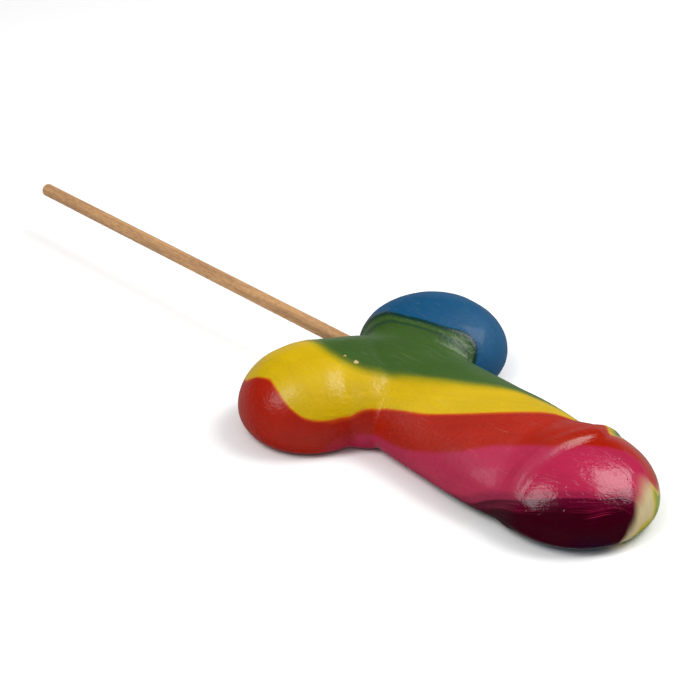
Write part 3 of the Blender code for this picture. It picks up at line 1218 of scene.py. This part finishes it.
@dataclass(frozen=True)
class SoftBox:
    """A light that hangs round the candy and faces it.

    Attributes:
        name: Its name.
        azimuth: Degrees round the object, from the front towards +X.
        elevation: Degrees above the floor.
        side: Its width in metres.
        power: Its power in watts.
        tall: Its height, in widths.
        shines: Whether it shows in the gloss.
    """

    name: str
    azimuth: float
    elevation: float
    side: float
    power: float
    tall: float = 1.0
    shines: bool = True


@dataclass
class Studio:
    """A pale floor under an even sky, soft boxes, and the camera at the photograph's angle.

    Lengths of the camera are in millimetres, and those of the floor and the lights in metres.
    """

    azimuth: float = 46.669
    elevation: float = 28.938
    distance: float = 452.44
    lens: float = 86.46
    sensor: float = 36.0
    target: Triple = (-15.84, 1.14, 10.0)
    clip_start: float = 0.01
    boxes: tuple[SoftBox, ...] = (
        SoftBox("right_soft_box", 153.0, 50.0, 0.58, 6.8),
        SoftBox("left_soft_box", -22.0, 51.0, 0.32, 3.8, tall=2.1),
        SoftBox("overhead_fill", 0.0, 90.0, 1.8, 6.8, shines=False),
        SoftBox("front_fill", 30.0, 24.0, 1.2, 1.4, shines=False),
    )
    box_distance: float = 0.9
    box_target: Triple = (0.06, 0.0, 0.0)
    floor_side: float = 1.6
    floor_gap: float = 0.0002
    floor_level: float = 0.97
    floor_roughness: float = 0.9
    floor_specular: float = 0.1
    sky_levels: Knots = ((-0.9, 0.15), (0.0, 0.42), (0.10, 0.26), (0.20, 0.03))
    sky_behind: Pair = (-0.1, 0.7)
    sky_ahead_level: float = 0.06

    def direction(self, azimuth: float, elevation: float) -> Vector:
        """The direction from the object to a camera or a light.

        Args:
            azimuth: Degrees round the object, from the front towards +X.
            elevation: Degrees above the floor.

        Returns:
            A unit vector.
        """
        around = math.radians(azimuth)
        above = math.radians(elevation)
        flat = math.cos(above)
        return Vector((math.sin(around) * flat, -math.cos(around) * flat, math.sin(above)))

    def hang(
        self, data: bpy.types.ID, azimuth: float, elevation: float, distance: float, target: Vector
    ) -> bpy.types.Object:
        """Hangs a camera or a light round a target, so that it faces it.

        Args:
            data: The camera's or the light's data.
            azimuth: Degrees round the target, from the front towards +X.
            elevation: Degrees above the floor.
            distance: Metres from the target.
            target: Where it looks.

        Returns:
            The camera or the light.
        """
        back = self.direction(azimuth, elevation)
        hung = bpy.data.objects.new(data.name, data)
        hung.location = back * distance + target
        hung.rotation_euler = back.to_track_quat("Z", "Y").to_euler()
        bpy.context.scene.collection.objects.link(hung)
        return hung

    def add_camera(self, shift: Vector) -> None:
        """Makes the camera and makes it the scene's own.

        Args:
            shift: Where the candy's own origin lies in the frame, in metres.
        """
        data = bpy.data.cameras.new("camera")
        data.lens = self.lens
        data.sensor_width = self.sensor
        data.clip_start = self.clip_start
        target = Vector(self.target) * MM + shift
        camera = self.hang(data, self.azimuth, self.elevation, self.distance * MM, target)
        bpy.context.scene.camera = camera

    def add_box(self, box: SoftBox) -> None:
        """Hangs a soft box that faces the candy.

        Args:
            box: The soft box.
        """
        data = bpy.data.lights.new(box.name, "AREA")
        data.shape = "RECTANGLE"
        data.size = box.side
        data.size_y = box.side * box.tall
        data.energy = box.power
        target = Vector(self.box_target)
        light = self.hang(data, box.azimuth, box.elevation, self.box_distance, target)
        light.visible_glossy = box.shines

    def add_floor(self) -> None:
        """Lays the floor just under the candy."""
        half = 0.5 * self.floor_side
        sides = ((-half, -half), (half, -half), (half, half), (-half, half))
        corners = [(x, y, -self.floor_gap) for x, y in sides]
        floor = new_piece("pale_floor", np.array(corners), [(0, 1, 2, 3)])
        bench = NodeBench(bpy.data.materials.new("pale_paper"))
        bench.fill(bench.shader, {
            "Base Color": self.pale(),
            "Roughness": self.floor_roughness,
            "Specular IOR Level": self.floor_specular,
        })
        floor.data.materials.append(bench.owner)
        floor.visible_glossy = False

    def pale(self) -> tuple[float, float, float, float]:
        """The colour of the floor and of the backdrop behind it."""
        return (self.floor_level, self.floor_level, self.floor_level, 1.0)

    def set_sky(self) -> None:
        """Makes the sky: brightest at the horizon and behind the candy, and pale to the camera.

        Its level goes by the height of a direction, through the colour ramp, times a smooth step
        from the camera's side to the far side.
        """
        bench = NodeBench(bpy.data.worlds.new("studio"), "Background")
        bpy.context.scene.world = bench.owner
        toward = bench.add("ShaderNodeTexCoord").outputs["Generated"]
        height = bench.sum("MULTIPLY_ADD", bench.split(toward, 2), 0.5, 0.5)
        ramp = bench.add("ShaderNodeValToRGB", {"Fac": height})
        stops = ramp.color_ramp.elements
        for place, _ in self.sky_levels[1:-1]:
            stops.new(0.5 + 0.5 * place)
        for stop, (place, level) in zip(stops, self.sky_levels):
            stop.position = 0.5 + 0.5 * place
            stop.color = (level, level, level, 1.0)
        inputs = {0: toward, 1: -self.direction(self.azimuth, 0.0)}
        behind = bench.add("ShaderNodeVectorMath", inputs, operation="DOT_PRODUCT").outputs["Value"]
        strength = bench.ramp(behind, *self.sky_behind, self.sky_ahead_level)
        bench.fill(bench.shader, {"Color": ramp.outputs["Color"], "Strength": strength})
        backdrop = bench.add("ShaderNodeBackground", {"Color": self.pale()})
        to_camera = bench.add("ShaderNodeLightPath").outputs["Is Camera Ray"]
        shown = {0: to_camera, 1: bench.shader.outputs["Background"], 2: backdrop.outputs["Background"]}
        seen = bench.add("ShaderNodeMixShader", shown)
        bench.fill(bench.tree.nodes["World Output"], {"Surface": seen.outputs["Shader"]})

    def set_light(self) -> None:
        """Sets the sky and hangs the soft boxes."""
        self.set_sky()
        for box in self.boxes:
            self.add_box(box)
        bpy.context.scene.view_settings.view_transform = "Standard"


def place_of_candy(stick: Stick) -> Vector:
    """Where the candy's own origin lies in the frame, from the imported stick's box.

    Args:
        stick: The stick's sizes.

    Returns:
        The place in metres.
    """
    low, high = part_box("stick")
    return Vector((low.x - stick.rear_x * MM, 0.5 * (low.y + high.y), 0.0))


def main() -> None:
    """Builds the studio, the candy and the stick, and reports each piece."""
    logging.basicConfig(level=logging.INFO, format="%(name)s: %(message)s")
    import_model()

    stick_maker = Stick()
    shift = place_of_candy(stick_maker)
    studio = Studio()
    studio.add_camera(shift)
    studio.set_light()
    studio.add_floor()

    candy = Candy().build(shift)
    candy.data.materials.append(SugarFinish().make())
    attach(candy, "root")
    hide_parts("candy")

    stick = stick_maker.build(shift)
    stick.data.materials.append(WoodFinish().make())
    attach(stick, "root")
    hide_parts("stick")

    for piece in (candy, stick):
        mesh = piece.data
        LOG.info("%s has %d vertices and %d faces", piece.name, len(mesh.vertices), len(mesh.polygons))


if __name__ == "__main__":
    main()
